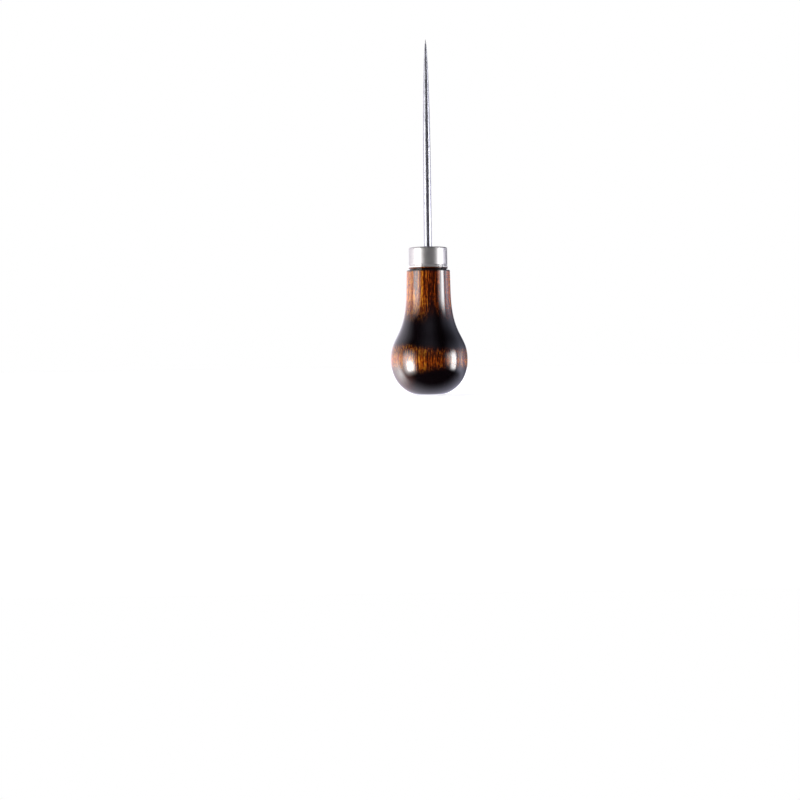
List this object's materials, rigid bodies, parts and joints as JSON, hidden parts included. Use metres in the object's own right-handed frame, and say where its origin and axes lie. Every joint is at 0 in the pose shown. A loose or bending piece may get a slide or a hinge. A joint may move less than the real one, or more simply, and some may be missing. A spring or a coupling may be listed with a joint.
{
  "type": "scratch awl",
  "caption": "Scratch awl with a slim needle-pointed steel blade, a drawn steel ferrule and a pear-shaped lacquered wooden handle, for marking and piercing leather.",
  "frame": {"origin": "centre of the flat on the handle's butt, on which the awl stands", "axes": "+Z along the blade from the butt to the point; every piece is turned about Z, so X and Y are free"},
  "size_m": [0.0294, 0.0294, 0.135],
  "materials": {
    "handle_wood": "scorched dark bands over amber grain under gloss lacquer",
    "ferrule_steel": "satin, drawn",
    "blade_steel": "ground and polished along its length",
    "epoxy": "cured amber resin"
  },
  "bodies": {
    "root": {"handle": "handle_wood", "ferrule": "ferrule_steel", "blade": "blade_steel", "tang_epoxy": "epoxy"}
  },
  "joints": []
}
